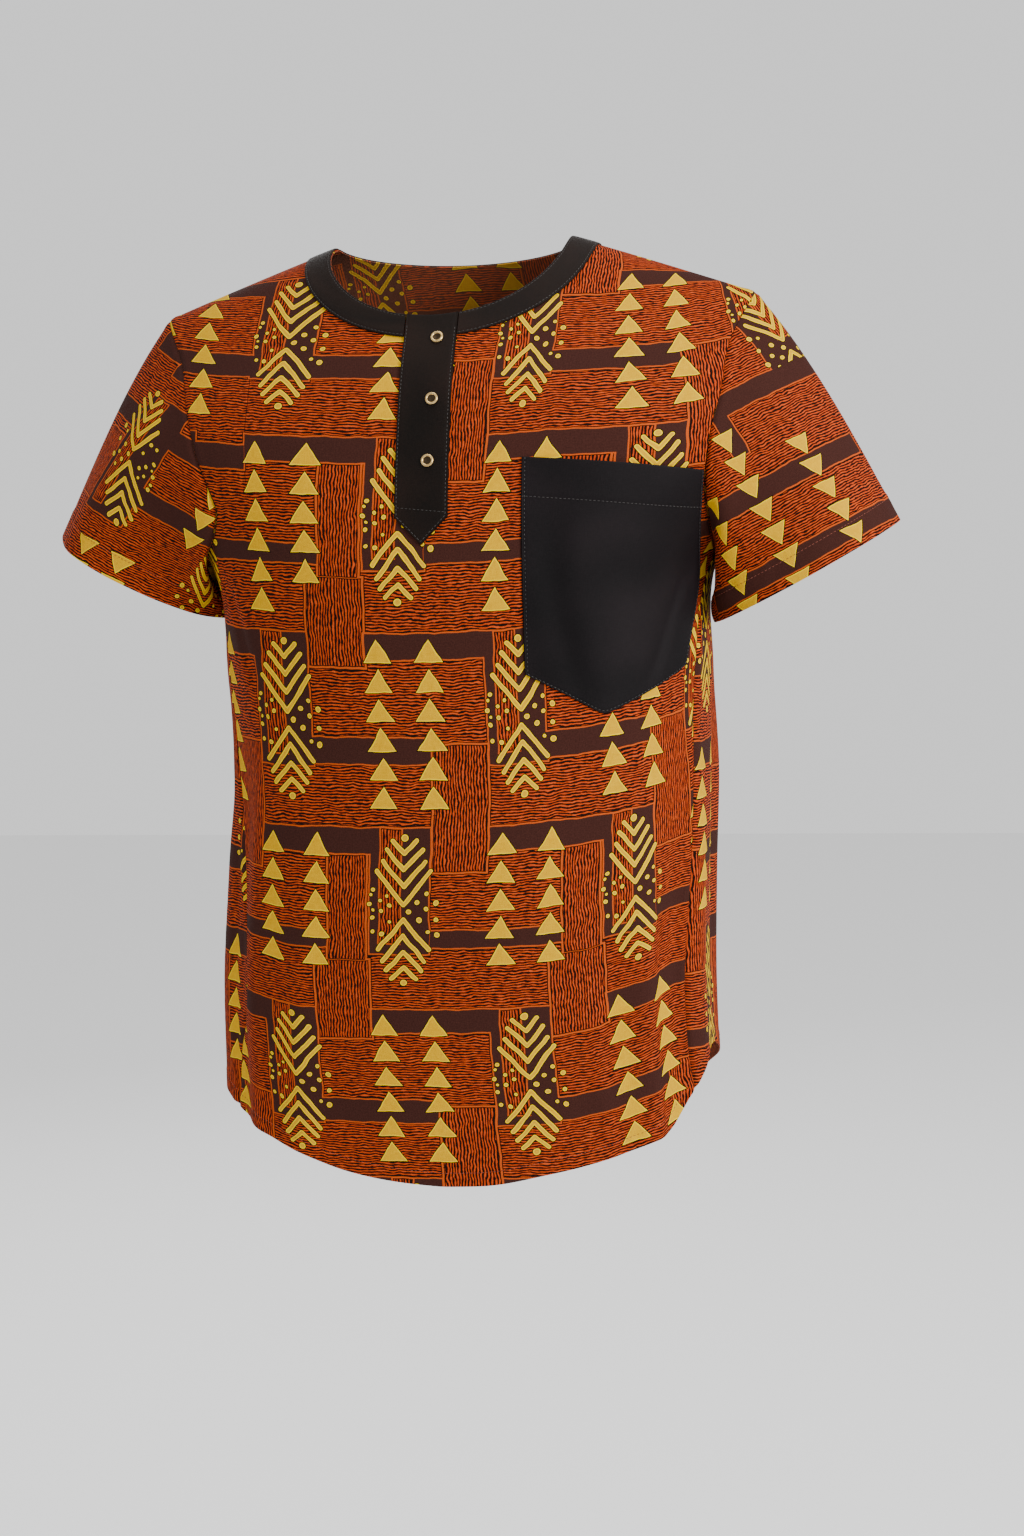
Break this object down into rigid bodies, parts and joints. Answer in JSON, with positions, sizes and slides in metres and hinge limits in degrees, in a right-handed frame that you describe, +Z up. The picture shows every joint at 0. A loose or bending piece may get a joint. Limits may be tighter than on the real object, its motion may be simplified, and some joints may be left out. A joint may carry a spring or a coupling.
{
  "type": "african print shirt",
  "caption": "Short-sleeved round-neck shirt of geometric print cotton, in worn form, with a plain black neckband, pointed snap placket and chest pocket, and a curved hem.",
  "frame": {"origin": "midway between the two points where the neck edge meets the shoulder seams, where the wearer's shoulders hold the shirt", "axes": "+Z up, the front faces -Y, the wearer's left is +X"},
  "size_m": [0.6468, 0.2758, 0.7046],
  "materials": {
    "print_cotton": "matt wax-print cotton in rust, near black, brown and yellow",
    "black_cotton": "matt plain-weave black cotton",
    "antique_brass": "antique brass, dark in the recess"
  },
  "bodies": {
    "root": {"front": "print_cotton", "back": "print_cotton", "sleeve_left": "print_cotton", "sleeve_right": "print_cotton", "neckband": "black_cotton", "placket": "black_cotton", "placket_under": "black_cotton", "pocket": "black_cotton", "snap_top": "antique_brass", "snap_middle": "antique_brass", "snap_bottom": "antique_brass"}
  },
  "joints": []
}
